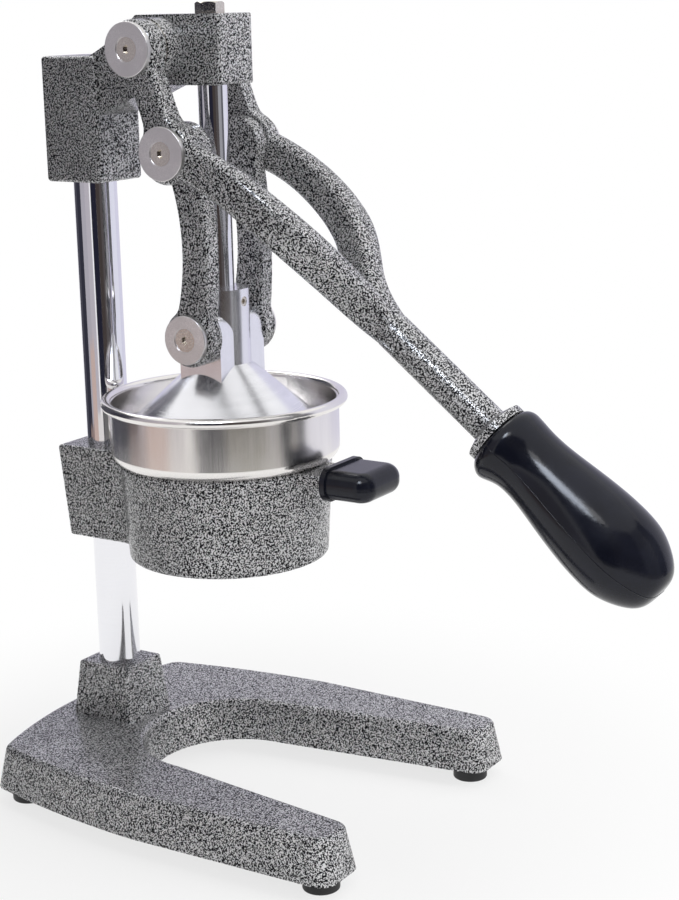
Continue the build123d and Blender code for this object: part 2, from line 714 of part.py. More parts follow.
def press_set_screw():
    """Small set screw that locks the rod in the hub."""
    level = hub_top - PRESS_SCREW_DROP
    outer = -HUB_RADIUS + PRESS_SCREW_INSET
    screw = rod_y(PRESS_SCREW_RADIUS, outer, -ROD_RADIUS, 0, level)
    key = hexagon(PRESS_SCREW_KEY, PRESS_SCREW_KEY_DEPTH)
    return screw - Pos(0, outer, level) * Rot(-90, 0, 0) * key


def guide_rod():
    """Chromed rod from the hub up through the head."""
    bar = rod_z(ROD_RADIUS, rod_foot, rod_head)
    return bar - rod_z(ROD_BOLT_RADIUS + FIT, rod_head - ROD_BOLT_DEPTH, rod_head)


def rod_stop_washer():
    """Washer on the rod's top that stops in the head's recess."""
    ring = rod_z(STOP_RADIUS, rod_head, head_top)
    return ring - rod_z(ROD_BOLT_RADIUS + FIT, rod_head, head_top)


def rod_bolt():
    """Hexagon bolt on top of the rod."""
    bolt = hexagon(ROD_BOLT_ACROSS, ROD_BOLT_HEAD)
    corner = ROD_BOLT_ACROSS / math.sqrt(3)
    crown = turned([
        (0, 0),
        (corner, 0),
        (corner, ROD_BOLT_HEAD - BOLT_CROWN),
        (ROD_BOLT_ACROSS / 2, ROD_BOLT_HEAD),
        (0, ROD_BOLT_HEAD),
    ])
    bolt = bolt & crown
    return Pos(0, 0, head_top) * bolt + rod_z(ROD_BOLT_RADIUS, rod_head - ROD_BOLT_DEPTH, head_top)


def cup_outline():
    """Ring and clamp block as seen from above, at the cup holder's underside."""
    clamp_rear = COLUMN_Y + CLAMP_REAR
    face = Circle(CUP_RADIUS)
    face += Pos(0, clamp_rear / 2) * Rectangle(2 * CLAMP_HALF_WIDTH, clamp_rear)
    valleys = [v for v in face.vertices() if v.Y < clamp_rear - FIT]
    return fillet(valleys, CLAMP_FILLET)


def tab_bar(rear, grown, corner, edge):
    """The tab's flat bar, grown all round, with round front corners and rounded edges."""
    half = TAB_WIDTH / 2 + grown
    front = -CUP_RADIUS - TAB_LENGTH - grown
    bar = box_between(
        (-half, front, cup_top - TAB_THICKNESS - grown), (half, rear, cup_top + grown)
    )
    bar = fillet(bar.edges().filter_by(Axis.Z).sort_by(Axis.Y)[:2], corner)
    brims = bar.faces().sort_by(Axis.Z)[0].edges() + bar.faces().sort_by(Axis.Z)[-1].edges()
    return fillet([brim for brim in brims if brim.center().Y < rear - FIT], edge)


def cup_holder():
    """Casting that clamps on the column and carries the bowl."""
    body = extrude(Pos(0, 0, CUP_LEVEL) * cup_outline(), CUP_HEIGHT, taper=-CUP_DRAFT)
    body = fillet(body.faces().sort_by(Axis.Z)[0].edges(), CUP_EDGE)
    body = fillet(body.faces().sort_by(Axis.Z)[-1].edges(), CUP_EDGE)
    body += tab_bar(-CUP_BORE, 0.0, TAB_CORNER, TAB_EDGE)
    body -= rod_z(CUP_BORE, CUP_LEVEL, cup_top)
    body -= rod_z(COLUMN_RADIUS + FIT, CUP_LEVEL, cup_top, 0, COLUMN_Y)
    for level in CUP_SET_SCREW_LEVELS:
        body -= rear_screw_hole(clamp_rear_at(level) + SET_SCREW_RADIUS, CUP_LEVEL + level)
    return body


def clamp_rear_at(level):
    """Y of the clamp block's drafted rear face at a height over its underside."""
    return COLUMN_Y + CLAMP_REAR + level * math.tan(math.radians(CUP_DRAFT))


def cup_set_screws():
    """Two set screws at the back of the clamp block."""
    return group(*[
        rear_set_screw(clamp_rear_at(level), CUP_LEVEL + level) for level in CUP_SET_SCREW_LEVELS
    ])


def tab_grip():
    """Moulded sleeve over the tab, rounded like a pillow, with a thin lip at its mouth."""
    rear = -CUP_RADIUS - TAB_LENGTH - TAB_GRIP_WALL + TAB_GRIP_LENGTH
    body = tab_bar(rear, TAB_GRIP_WALL, TAB_CORNER + TAB_GRIP_WALL, tab_grip_edge)
    half = TAB_WIDTH / 2 + TAB_GRIP_WALL + TAB_GRIP_LIP
    top = cup_top + TAB_GRIP_WALL + TAB_GRIP_LIP
    low = cup_top - TAB_THICKNESS - TAB_GRIP_WALL - TAB_GRIP_LIP
    lip = box_between((-half, rear - TAB_GRIP_LIP_LENGTH, low), (half, rear, top))
    body += fillet(lip.edges().filter_by(Axis.Y), tab_grip_edge + TAB_GRIP_LIP)
    return body - tab_bar(rear, FIT, TAB_CORNER + FIT, TAB_EDGE + FIT)


def bowl_solid(inset):
    """The bowl's outer body, or its hollow when inset by the sheet."""
    wall = BOWL_RADIUS - inset
    floor = cup_top + inset
    corner = BOWL_CORNER - inset
    face = make_face([
        Line((0, floor), (wall - corner, floor)),
        CenterArc((wall - corner, floor + corner), corner, -90, 90),
        Line((wall, floor + corner), (wall, rim_top)),
        Line((wall, rim_top), (0, rim_top)),
        Line((0, rim_top), (0, floor)),
    ])
    return revolve(Plane.XZ * face, Axis.Z)


def bowl():
    """Stainless bowl with a rolled rim and a wide hole in its floor."""
    roll = (BOWL_RIM_OVERHANG + SHEET / 2) / 2
    rim = Pos(0, 0, rim_top - roll) * Torus(BOWL_RADIUS + BOWL_RIM_OVERHANG - roll, roll)
    body = bowl_solid(0.0) - rod_z(BOWL_RADIUS, rim_top - roll, rim_top)
    body = body + rim - bowl_solid(SHEET)
    return body - rod_z(funnel_neck - SHEET, cup_top, cup_top + SHEET)


def funnel_solid(inset):
    """The funnel's outer body, or its hollow when inset by the sheet."""
    funnel_top = cup_top - FUNNEL_NECK
    funnel_low = funnel_top - FUNNEL_DROP
    spout_low = funnel_low - SPOUT_LENGTH
    return turned([
        (0, spout_low),
        (SPOUT_RADIUS - inset, spout_low),
        (SPOUT_RADIUS - inset, funnel_low),
        (funnel_neck - inset, funnel_top),
        (funnel_neck - inset, cup_top),
        (0, cup_top),
    ])


def funnel():
    """Sheet funnel under the bowl's floor, with a neck in the cup holder and a spout."""
    return funnel_solid(0.0) - funnel_solid(SHEET)


def strainer():
    """Slotted cone that stands on the bowl's floor under the press cone."""
    floor = cup_top + SHEET
    skirt_top = floor + STRAINER_SKIRT
    tip = skirt_top + (strainer_radius - STRAINER_TIP_RADIUS) * cone_slope
    thickness = SHEET / math.cos(math.radians(CONE_ANGLE))
    outer = turned([
        (0, floor),
        (strainer_radius, floor),
        (strainer_radius, skirt_top),
        (STRAINER_TIP_RADIUS, tip),
        (0, tip),
    ])
    inner_radius = strainer_radius - SHEET
    inner_tip = tip - thickness
    inner_foot = skirt_top - thickness + SHEET * cone_slope
    tip_radius = inner_radius - (inner_tip - inner_foot) / cone_slope
    body = outer - turned([
        (0, floor),
        (inner_radius, floor),
        (inner_radius, inner_foot),
        (tip_radius, inner_tip),
        (0, inner_tip),
    ])
    slot = box_between(
        (STRAINER_SLOT_FROM, -STRAINER_SLOT_WIDTH / 2, floor),
        (strainer_radius - STRAINER_SLOT_INSET, STRAINER_SLOT_WIDTH / 2, tip),
    )
    slots = [Rot(0, 0, 360 / STRAINER_SLOTS * i) * slot for i in range(STRAINER_SLOTS)]
    return body - slots


parts = {
    "base": base(),
    "foot_screws": foot_screws(),
    "column": column(),
    "column_washer": column_washer(),
    "column_bolt": column_bolt(),
    "head": head(),
    "head_set_screws": head_set_screws(),
    "head_pivot_pin": head_pivot_pin(),
    "head_spacers": head_spacers(),
    "cup_holder": cup_holder(),
    "cup_set_screws": cup_set_screws(),
    "tab_grip": tab_grip(),
    "bowl": bowl(),
    "funnel": funnel(),
    "strainer": strainer(),
    "lever": lever(),
    "lever_grip": lever_grip(),
    "press_cone": press_cone(),
    "press_set_screw": press_set_screw(),
    "guide_rod": guide_rod(),
    "rod_stop_washer": rod_stop_washer(),
    "rod_bolt": rod_bolt(),
}
for name, (x, y) in foot_places().items():
    parts["foot_" + name] = foot(x, y)

# Pieces that come once on each side, modelled on the right
pairs = {
    "head_disc": disc(DISC_RADIUS, head_disc_in, head_pivot),
    "head_disc_screw": disc_screw(head_disc_in, head_pivot),
    "mid_pin": pin(eye_in, eye_out, mid_pivot, eye_out),
    "mid_disc": disc(DISC_RADIUS, eye_out, mid_pivot),
    "mid_disc_screw": disc_screw(eye_out, mid_pivot),
    "link": link(),
    "link_mid_pin": link_mid_pin(),
    "low_pin": pin(LOW_PIN_SEAT, low_disc_in, low_pivot, low_disc_in),
    "low_disc": disc(LOW_DISC_RADIUS, low_disc_in, low_pivot),
    "low_disc_screw": disc_screw(low_disc_in, low_pivot),
}
for name, right in pairs.items():
    parts[name + "_right"] = right
    parts[name + "_left"] = other_side(right)

os.makedirs("parts", exist_ok=True)
for name, shape in parts.items():
    export_step(shape, "parts/" + name + ".step")
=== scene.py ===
import math

import bmesh
import bpy
from mathutils import Matrix, Vector


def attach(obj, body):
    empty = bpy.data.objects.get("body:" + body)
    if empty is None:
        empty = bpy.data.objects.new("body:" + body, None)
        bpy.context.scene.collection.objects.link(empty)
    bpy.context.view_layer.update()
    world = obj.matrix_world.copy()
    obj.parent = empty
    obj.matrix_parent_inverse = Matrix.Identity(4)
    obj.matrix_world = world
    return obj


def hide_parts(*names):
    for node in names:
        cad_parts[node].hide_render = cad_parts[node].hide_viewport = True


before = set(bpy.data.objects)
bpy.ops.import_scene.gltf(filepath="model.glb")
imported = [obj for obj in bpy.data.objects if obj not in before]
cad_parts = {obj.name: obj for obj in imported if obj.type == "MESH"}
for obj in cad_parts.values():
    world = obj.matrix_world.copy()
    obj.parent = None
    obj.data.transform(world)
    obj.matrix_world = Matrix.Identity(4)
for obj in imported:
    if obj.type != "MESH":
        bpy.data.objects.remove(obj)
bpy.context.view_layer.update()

bl_info = {
    "name": "Citrus press finishes",
    "version": (1, 0, 0),
    "blender": (4, 5, 0),
    "location": "3D View > Sidebar > Citrus press",
    "description": "Gives a hand lever citrus press its finishes, moulded lever grip, stage and camera",
    "category": "Object",
}

# Nodes by finish, and what is in none of these groups is bright steel
PAINTED = (
    "base", "head", "cup_holder", "lever", "link_left", "link_right",
    "link_mid_pin_left", "link_mid_pin_right",
)
CHROMED = ("column", "guide_rod")
SHEET = ("bowl", "funnel", "strainer")
TURNED = ("press_cone",)
FEET = ("foot_front_left", "foot_front_right", "foot_rear_left", "foot_rear_right")
MOULDED = ("lever_grip", "tab_grip")
DISCS = tuple(p + "_disc_" + s for p in ("head", "mid", "low") for s in ("left", "right"))

# Lever's grip: its slope and that of the tang in it, the middle of its mouth, the directions to its
# round end and its upper side, and the bore for the tang
GRIP_SLOPE = math.radians(39.7)
TANG_SLOPE = math.radians(38.5)
GRIP_MOUTH = Vector((0.0, -0.163926, 0.219077))
GRIP_ALONG = Vector((0.0, -math.cos(GRIP_SLOPE), -math.sin(GRIP_SLOPE)))
GRIP_UP = Vector((0.0, -math.sin(GRIP_SLOPE), math.cos(GRIP_SLOPE)))
TANG_ALONG = Vector((0.0, -math.cos(TANG_SLOPE), -math.sin(TANG_SLOPE)))
TANG_RADIUS = 0.00705
TANG_DEPTH = 0.074
GRIP_SIDES = 48
GRIP_SMOOTHING = 2

# Rings of the lever's grip: distance from its mouth, radius, and how far it sits below the axis
GRIP_RINGS = (
    (0.0003, 0.0161, 0.0016),
    (0.0012, 0.0181, 0.0016),
    (0.0035, 0.0198, 0.0019),
    (0.0060, 0.0205, 0.0022),
    (0.0082, 0.0203, 0.0021),
    (0.0110, 0.0196, 0.0014),
    (0.0145, 0.0187, 0.0007),
    (0.0190, 0.0181, 0.0002),
    (0.0270, 0.0183, 0.0),
    (0.0360, 0.0195, 0.0),
    (0.0460, 0.0210, 0.0),
    (0.0560, 0.0223, 0.0),
    (0.0660, 0.0233, 0.0),
    (0.0770, 0.0236, 0.0),
    (0.0850, 0.0229, 0.0),
    (0.0910, 0.0210, 0.0),
    (0.0965, 0.0184, 0.0),
    (0.1010, 0.0155, 0.0),
    (0.1042, 0.0126, 0.0),
    (0.1062, 0.0091, 0.0),
    (0.1069, 0.0052, 0.0),
    (0.1070, 0.0020, 0.0),
)

# Noise: the values between which a mask goes from none to all
NOISE_SPAN = (0.3, 0.7)
BAND_SPAN = (0.35, 0.65)
DARK_SPAN = (0.525, 0.495)
HEIGHT_SPAN = (0.40, 0.60)

# Noise: its scales per metre, or per turned groove, and how the speckles are mixed
TONE_SCALE = 38.0
PATCH_SCALE = 45.0
BAND_SCALE = 0.07
SPECKLE_DISTORTION = 0.6
SPECKLE_SHARE = 0.88
FINE_RATIO = 2.1

# Hammered paint: share of the silver in dim places, metal in the grains, roughness from low to high
# places, gloss, and the clear coat on grains and on speckles
PAINT_DIM = 0.86
PAINT_METAL = 0.15
PAINT_ROUGHNESS = (0.45, 0.30)
PAINT_GLOSS = 0.1
PAINT_COAT = (1.0, 0.3)
PAINT_COAT_ROUGHNESS = 0.15

# Metals: share of the colour in dull places, streaks per metre, roughness and relief in metres
CHROME_DULL = 0.985
CHROME_STREAKS = (60.0, 60.0, 2600.0)
CHROME_ROUGHNESS = (0.05, 0.09)
CHROME_RELIEF = 0.0000003
STAINLESS_DULL = 0.95
STAINLESS_STREAKS = (2600.0, 2600.0, 40.0)
STAINLESS_STREAK_ROUGHNESS = (0.0, 0.03)
STAINLESS_ROUGHNESS = (0.18, 0.22)
STAINLESS_RELIEF = 0.0000006
ALUMINIUM_DULL = 0.93
ALUMINIUM_STREAKS = (300.0, 300.0, 300.0)
ALUMINIUM_PITCH = 0.00045
ALUMINIUM_GROOVE_ROUGHNESS = (0.0, 0.04)
ALUMINIUM_ROUGHNESS = (0.20, 0.24)
ALUMINIUM_RELIEF = 0.0000006
STEEL_DULL = 0.78
SATIN_ROUGHNESS = (0.28, 0.40)
SATIN_RELIEF = 0.000012
BRIGHT_ROUGHNESS = (0.16, 0.26)
BRIGHT_RELIEF = 0.00003

# Black mouldings: how much lighter the pale places are, grain per metre, relief, roughness and gloss
BLACK_LIFT = 1.5
BLACK_GRAIN = (420.0, 420.0, 420.0)
BLACK_RELIEF = 0.00001
PLASTIC_ROUGHNESS = (0.13, 0.19)
PLASTIC_GLOSS = 0.3
RUBBER_ROUGHNESS = (0.45, 0.6)
RUBBER_GLOSS = 0.5

# Studio cards that bright metal mirrors: azimuths in degrees, reach and height in metres, shade
# and, off the floor, level
CARDS = (
    (-205.0, -175.0, 0.72, 0.78, (0.07, 0.07, 0.09)),
    (-175.0, -145.0, 0.72, 0.78, (0.035, 0.035, 0.05)),
    (-145.0, -118.0, 0.72, 0.78, (0.44, 0.42, 0.46)),
    (-118.0, -92.0, 0.72, 0.78, (0.50, 0.47, 0.51)),
    (-85.0, -56.0, 0.72, 0.78, (0.018, 0.018, 0.032)),
    (-56.0, -35.0, 0.72, 0.78, (0.06, 0.048, 0.045)),
    (-35.0, -14.0, 0.72, 0.78, (0.09, 0.08, 0.08)),
    (-14.0, 11.0, 0.72, 0.78, (0.33, 0.33, 0.35)),
    (11.0, 29.0, 0.72, 0.78, (0.13, 0.13, 0.145)),
    (29.0, 70.0, 0.80, 0.78, (0.80, 0.80, 0.90)),
    (70.0, 110.0, 0.80, 0.78, (0.72, 0.71, 0.84)),
    (110.0, 150.0, 0.80, 0.78, (0.66, 0.64, 0.78)),
    (-160.0, -135.0, 0.69, 0.06, (0.30, 0.22, 0.20)),
    (-135.0, -110.0, 0.69, 0.13, (0.58, 0.44, 0.39)),
    (-110.0, -80.0, 0.69, 0.06, (0.78, 0.75, 0.72)),
    (-76.0, -52.0, 0.69, 0.06, (0.16, 0.155, 0.15)),
    (-52.0, -16.0, 0.69, 0.06, (0.40, 0.385, 0.33)),
    (-16.0, 20.0, 0.69, 0.06, (0.45, 0.42, 0.39)),
    (-80.0, -62.0, 0.90, 0.75, (17.0, 18.5, 21.0), 0.65),
)

# Black flag that keeps the light from the left off the head
FLAG = (-129.0, -57.0, 0.30, 0.42, (0.0, 0.0, 0.0), 0.33)

# Kinds of ray that a card or the flag is hidden from
HIDDEN_CARD = ("camera", "diffuse", "shadow", "transmission", "volume_scatter")
HIDDEN_FLAG = ("camera", "glossy", "transmission", "volume_scatter")

# Lamps: place, point that it faces, width and height, power in watts, and if metal mirrors it
PRESS_MIDDLE = (0.0, 0.0, 0.22)
BOWL_MIDDLE = (0.0, 0.0, 0.12)
LAMPS = {
    "key": ((-0.856, -0.546, 0.968), PRESS_MIDDLE, (0.3, 0.6), 2.0, True),
    "top": ((0.45, -0.6, 1.8), PRESS_MIDDLE, (2.4, 2.8), 26.0, False),
    "front": ((0.35, -1.5, 0.9), PRESS_MIDDLE, (0.5, 0.9), 6.0, True),
    "rear": ((0.5, 1.1, 1.4), PRESS_MIDDLE, (0.8, 0.8), 4.0, True),
    "fill": ((-0.5, -0.55, 0.10), BOWL_MIDDLE, (0.5, 0.15), 0.9, False),
}
WORLD_LIGHT = 0.09

# Floor: its side, its near and far shade, its glow near the press, and the distances from the
# middle between which they change
WHITE = (1.0, 1.0, 1.0)
FLOOR_SIDE = 12.0
FLOOR_NEAR_SHADE = (0.93, 0.93, 0.93)
FLOOR_FAR_SHADE = (0.12, 0.12, 0.12)
FLOOR_SHADE_SPAN = (0.35, 0.95)
FLOOR_NEAR_GLOW = 0.75
FLOOR_GLOW_SPAN = (0.10, 0.34)

# Camera: frame, focal length and optical centre in pixels, sensor in millimetres, angles in degrees
FRAME_WIDTH = 679.0
FRAME_HEIGHT = 900.0
FOCAL_LENGTH = 1843.7
CENTRE_ACROSS = 342.5
CENTRE_DOWN = 441.6
SENSOR = 36.0
NEAR_CLIP = 0.01
CAMERA_AZIMUTH = -57.52
CAMERA_PITCH = 13.44
CAMERA_ROLL = -1.29
CAMERA_PLACE = (-0.76835, -0.56234, 0.42287)


class PressSizes(bpy.types.PropertyGroup):
    """Sizes of the finishes and the trim."""

    speckle: bpy.props.FloatProperty(
        name="Speckle", description="Spacing of the dark speckles in the hammered paint",
        default=0.00074, unit="LENGTH", precision=5)
    speckle_depth: bpy.props.FloatProperty(
        name="Speckle depth", description="How deep the hammered paint's speckles lie",
        default=0.00012, unit="LENGTH", precision=5)
    satin_grain: bpy.props.FloatProperty(
        name="Satin grain", description="Grain of the satin steel on the pivots' discs",
        default=0.0005, unit="LENGTH", precision=5)
    bright_grain: bpy.props.FloatProperty(
        name="Bright grain", description="Grain of the bright steel on screws and pins",
        default=0.0008, unit="LENGTH", precision=5)
    seam_width: bpy.props.FloatProperty(
        name="Seam width", description="Width of the mould line along the lever's grip",
        default=0.0005, unit="LENGTH", precision=5)
    seam_height: bpy.props.FloatProperty(
        name="Seam height", description="How far the mould line stands out of the lever's grip",
        default=0.00012, unit="LENGTH", precision=5)


class PressColours(bpy.types.PropertyGroup):
    """Colours of the finishes."""

    paint_silver: bpy.props.FloatVectorProperty(
        name="Paint silver", description="Light grains of the hammered paint",
        default=(0.82, 0.82, 0.835), subtype="COLOR", min=0, max=1)
    paint_dark: bpy.props.FloatVectorProperty(
        name="Paint dark", description="Dark speckles of the hammered paint",
        default=(0.004, 0.004, 0.006), subtype="COLOR", min=0, max=1)
    chrome: bpy.props.FloatVectorProperty(
        name="Chrome", description="Column and guide rod",
        default=(0.86, 0.86, 0.89), subtype="COLOR", min=0, max=1)
    stainless: bpy.props.FloatVectorProperty(
        name="Stainless", description="Bowl, funnel and strainer",
        default=(0.87, 0.845, 0.825), subtype="COLOR", min=0, max=1)
    aluminium: bpy.props.FloatVectorProperty(
        name="Aluminium", description="Press cone",
        default=(0.91, 0.91, 0.94), subtype="COLOR", min=0, max=1)
    satin: bpy.props.FloatVectorProperty(
        name="Satin steel", description="Cover discs of the pivots",
        default=(0.88, 0.86, 0.85), subtype="COLOR", min=0, max=1)
    bright: bpy.props.FloatVectorProperty(
        name="Bright steel", description="Screws, bolts, pins and washers",
        default=(0.78, 0.73, 0.66), subtype="COLOR", min=0, max=1)
    plastic: bpy.props.FloatVectorProperty(
        name="Black plastic", description="Grips",
        default=(0.008, 0.009, 0.016), subtype="COLOR", min=0, max=1)
    rubber: bpy.props.FloatVectorProperty(
        name="Black rubber", description="Feet",
        default=(0.014, 0.014, 0.015), subtype="COLOR", min=0, max=1)


def add_node(tree, kind, links=None, **settings):
    """A shader node with its settings, and its sockets set or linked by name or number."""
    made = tree.nodes.new(kind)
    for key, value in settings.items():
        setattr(made, key, value)
    for key, value in (links or {}).items():
        socket = made.inputs[key]
        if isinstance(value, bpy.types.NodeSocket):
            tree.links.new(value, socket)
        else:
            socket.default_value = value
    return made


def new_group(name, inputs, outputs):
    """An empty shader node group with named sockets."""
    tree = bpy.data.node_groups.new(name, "ShaderNodeTree")
    for label, kind, value in inputs:
        socket = tree.interface.new_socket(label, in_out="INPUT", socket_type=kind)
        if value is not None:
            socket.default_value = value
    for label, kind in outputs:
        tree.interface.new_socket(label, in_out="OUTPUT", socket_type=kind)
    start = tree.nodes.new("NodeGroupInput")
    end = tree.nodes.new("NodeGroupOutput")
    return tree, start.outputs, end.inputs


def math_node(tree, operation, a, b=0.0, clamp=False):
    """One arithmetic step."""
    made = add_node(tree, "ShaderNodeMath", {0: a, 1: b}, operation=operation, use_clamp=clamp)
    return made.outputs[0]


def ramp(tree, value, low, high, out_low=0.0, out_high=1.0):
    """A smooth step of a value from one range to another."""
    made = add_node(
        tree, "ShaderNodeMapRange",
        {"Value": value, "From Min": low, "From Max": high, "To Min": out_low, "To Max": out_high},
        interpolation_type="SMOOTHSTEP")
    return made.outputs["Result"]


def blend_colour(tree, factor, a, b):
    """A mix of two colours."""
    return add_node(tree, "ShaderNodeMix", {0: factor, 6: a, 7: b}, data_type="RGBA").outputs[2]


def noise(tree, vector, scale, **settings):
    """A noise between 0 and 1."""
    links = {"Vector": vector, "Scale": scale}
    links.update({key.capitalize(): value for key, value in settings.items()})
    return add_node(tree, "ShaderNodeTexNoise", links).outputs["Fac"]


def rgba(colour):
    """A colour with full alpha."""
    return (*colour, 1.0)


def speckle_group():
    """Worm shaped speckles of hammered paint: a dark mask, a height and a broad tone."""
    tree, inp, out = new_group(
        "Hammered speckle",
        [("Vector", "NodeSocketVector", None), ("Spacing", "NodeSocketFloat", 0.002)],
        [("Dark", "NodeSocketFloat"), ("Height", "NodeSocketFloat"), ("Tone", "NodeSocketFloat")])
    scale = math_node(tree, "DIVIDE", 1.0, inp["Spacing"])
    worms = noise(tree, inp["Vector"], scale, detail=0.0, distortion=SPECKLE_DISTORTION)
    fine = noise(tree, inp["Vector"], math_node(tree, "MULTIPLY", scale, FINE_RATIO), detail=0.0)
    mixed = math_node(tree, "ADD", math_node(tree, "MULTIPLY", worms, SPECKLE_SHARE),
                      math_node(tree, "MULTIPLY", fine, 1.0 - SPECKLE_SHARE))
    broad = noise(tree, inp["Vector"], TONE_SCALE, detail=2.0, roughness=0.5)
    tree.links.new(ramp(tree, mixed, *DARK_SPAN), out["Dark"])
    tree.links.new(ramp(tree, mixed, *HEIGHT_SPAN), out["Height"])
    tree.links.new(ramp(tree, broad, *NOISE_SPAN), out["Tone"])
    return tree


def brush_group():
    """Fine streaks that run along one direction of the given coordinates."""
    tree, inp, out = new_group(
        "Brushed streaks",
        [("Vector", "NodeSocketVector", None), ("Stretch", "NodeSocketVector", (1, 1, 1))],
        [("Streak", "NodeSocketFloat"), ("Patch", "NodeSocketFloat")])
    stretched = add_node(
        tree, "ShaderNodeVectorMath", {0: inp["Vector"], 1: inp["Stretch"]}, operation="MULTIPLY")
    fine = noise(tree, stretched.outputs[0], 1.0, detail=3.0, roughness=0.6)
    patch = noise(tree, inp["Vector"], PATCH_SCALE, detail=3.0, roughness=0.55)
    tree.links.new(ramp(tree, fine, *NOISE_SPAN), out["Streak"])
    tree.links.new(ramp(tree, patch, *NOISE_SPAN), out["Patch"])
    return tree


def ring_group():
    """Turned rings about an axis along Z: fine grooves by distance from the axis."""
    tree, inp, out = new_group(
        "Turned rings",
        [("Vector", "NodeSocketVector", None), ("Pitch", "NodeSocketFloat", 0.0006)],
        [("Groove", "NodeSocketFloat"), ("Band", "NodeSocketFloat")])
    flat = add_node(tree, "ShaderNodeVectorMath", {0: inp["Vector"], 1: (1, 1, 0)}, operation="MULTIPLY")
    radius = add_node(tree, "ShaderNodeVectorMath", {0: flat.outputs[0]}, operation="LENGTH")
    turns = math_node(tree, "DIVIDE", radius.outputs["Value"], inp["Pitch"])
    line = add_node(tree, "ShaderNodeCombineXYZ", {"X": turns}).outputs[0]
    grooves = noise(tree, line, 1.0, detail=2.0, roughness=0.6)
    bands = noise(tree, line, BAND_SCALE, detail=1.0)
    tree.links.new(ramp(tree, grooves, *NOISE_SPAN), out["Groove"])
    tree.links.new(ramp(tree, bands, *BAND_SPAN), out["Band"])
    return tree


GROUP_MAKERS = {
    "Hammered speckle": speckle_group,
    "Brushed streaks": brush_group,
    "Turned rings": ring_group,
}


def place_group(tree, name, links):
    """A node group, made on first use, placed in a material's tree."""
    group = bpy.data.node_groups.get(name) or GROUP_MAKERS[name]()
    return add_node(tree, "ShaderNodeGroup", links, node_tree=group).outputs


def new_material(name):
    """A material with its shader, Object coordinates and tree."""
    made = bpy.data.materials.get(name)
    if made:
        bpy.data.materials.remove(made)
    made = bpy.data.materials.new(name)
    made.use_nodes = True
    tree = made.node_tree
    shader = tree.nodes["Principled BSDF"]
    coords = tree.nodes.new("ShaderNodeTexCoord").outputs["Object"]
    return made, tree, shader, coords


def set_bump(tree, shader, height, distance):
    """A bump on the shader's normal."""
    bump = add_node(tree, "ShaderNodeBump", {"Height": height, "Distance": distance, "Strength": 1.0})
    tree.links.new(bump.outputs["Normal"], shader.inputs["Normal"])


def set_tone(tree, shader, factor, colour, share):
    """A base colour between a share of a colour and the whole of it."""
    part = tuple(c * share for c in colour)
    tone = blend_colour(tree, factor, rgba(part), rgba(colour))
    tree.links.new(tone, shader.inputs["Base Color"])


def hammered_paint(sizes, colours):
    """Glossy hammered paint, silver grains between dark worm shaped speckles."""
    made, tree, shader, coords = new_material("Hammered grey paint")
    speckle = place_group(tree, "Hammered speckle", {"Vector": coords, "Spacing": sizes.speckle})
    dimmed = tuple(c * PAINT_DIM for c in colours.paint_silver)
    silver = blend_colour(tree, speckle["Tone"], rgba(dimmed), rgba(colours.paint_silver))
    paint = blend_colour(tree, speckle["Dark"], silver, rgba(colours.paint_dark))
    tree.links.new(paint, shader.inputs["Base Color"])
    grains = math_node(tree, "SUBTRACT", 1.0, speckle["Dark"])
    tree.links.new(math_node(tree, "MULTIPLY", grains, PAINT_METAL), shader.inputs["Metallic"])
    rough = ramp(tree, speckle["Height"], 0.0, 1.0, *PAINT_ROUGHNESS)
    tree.links.new(rough, shader.inputs["Roughness"])
    shader.inputs["Specular IOR Level"].default_value = PAINT_GLOSS
    tree.links.new(ramp(tree, speckle["Dark"], 0.0, 1.0, *PAINT_COAT), shader.inputs["Coat Weight"])
    shader.inputs["Coat Roughness"].default_value = PAINT_COAT_ROUGHNESS
    set_bump(tree, shader, speckle["Height"], sizes.speckle_depth)
    return made


def polished_chrome(colours):
    """Mirror chrome with faint polishing marks around the bar."""
    made, tree, shader, coords = new_material("Polished chrome")
    brush = place_group(tree, "Brushed streaks", {"Vector": coords, "Stretch": CHROME_STREAKS})
    set_tone(tree, shader, brush["Streak"], colours.chrome, CHROME_DULL)
    tree.links.new(ramp(tree, brush["Patch"], 0.0, 1.0, *CHROME_ROUGHNESS), shader.inputs["Roughness"])
    shader.inputs["Metallic"].default_value = 1.0
    set_bump(tree, shader, brush["Streak"], CHROME_RELIEF)
    return made


def brushed_stainless(colours):
    """Spun stainless sheet with fine upright streaks on its walls."""
    made, tree, shader, coords = new_material("Brushed stainless")
    brush = place_group(tree, "Brushed streaks", {"Vector": coords, "Stretch": STAINLESS_STREAKS})
    set_tone(tree, shader, brush["Streak"], colours.stainless, STAINLESS_DULL)
    rough = math_node(tree, "ADD", ramp(tree, brush["Streak"], 0.0, 1.0, *STAINLESS_STREAK_ROUGHNESS),
                      ramp(tree, brush["Patch"], 0.0, 1.0, *STAINLESS_ROUGHNESS))
    tree.links.new(rough, shader.inputs["Roughness"])
    shader.inputs["Metallic"].default_value = 1.0
    set_bump(tree, shader, brush["Streak"], STAINLESS_RELIEF)
    return made


